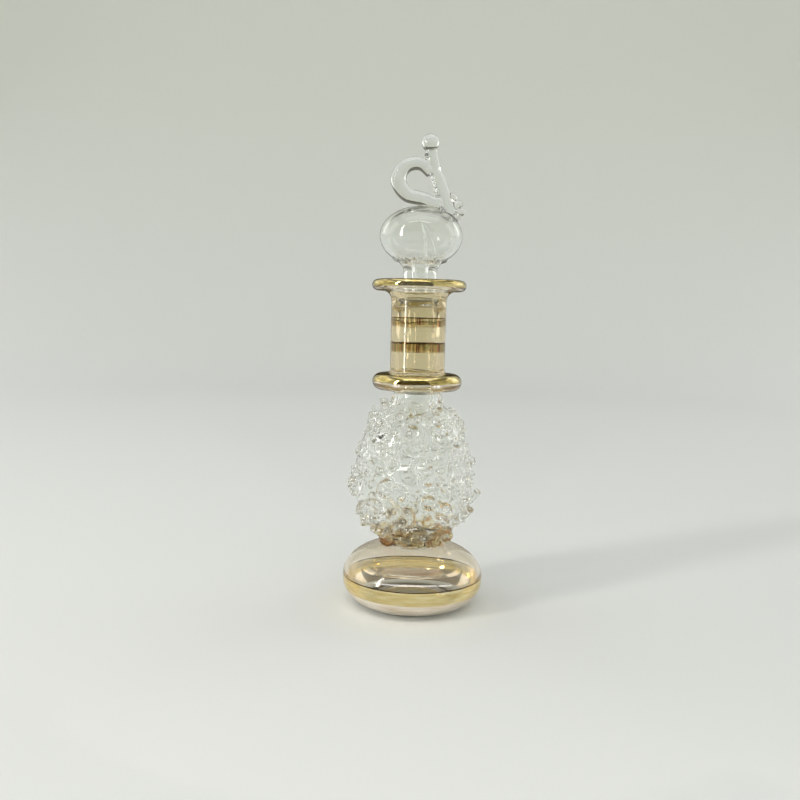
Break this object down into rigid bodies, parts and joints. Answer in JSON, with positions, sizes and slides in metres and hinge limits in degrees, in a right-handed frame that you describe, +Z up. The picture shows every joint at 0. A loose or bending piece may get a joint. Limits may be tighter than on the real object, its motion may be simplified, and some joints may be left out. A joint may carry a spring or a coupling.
{
  "type": "glass perfume flask",
  "caption": "Small blown glass perfume flask with a hollow foot, egg-shaped body in a fused glass crust, ringed neck and a lift-out bulb stopper that holds the scent in.",
  "frame": {"origin": "centre of the foot's underside, on the surface that the flask stands on", "axes": "+Z up along the flask's axis; seen from -Y the stopper's loop is on the left, towards -X"},
  "size_m": [0.0314, 0.0316, 0.1043],
  "materials": {
    "flask_glass": "polished borosilicate glass, amber lustre on the foot and neck, bright gold bands on the foot, collar, neck and lip",
    "stopper_glass": "polished clear borosilicate glass"
  },
  "bodies": {
    "root": {"flask": "flask_glass", "stopper": "stopper_glass"}
  },
  "joints": []
}
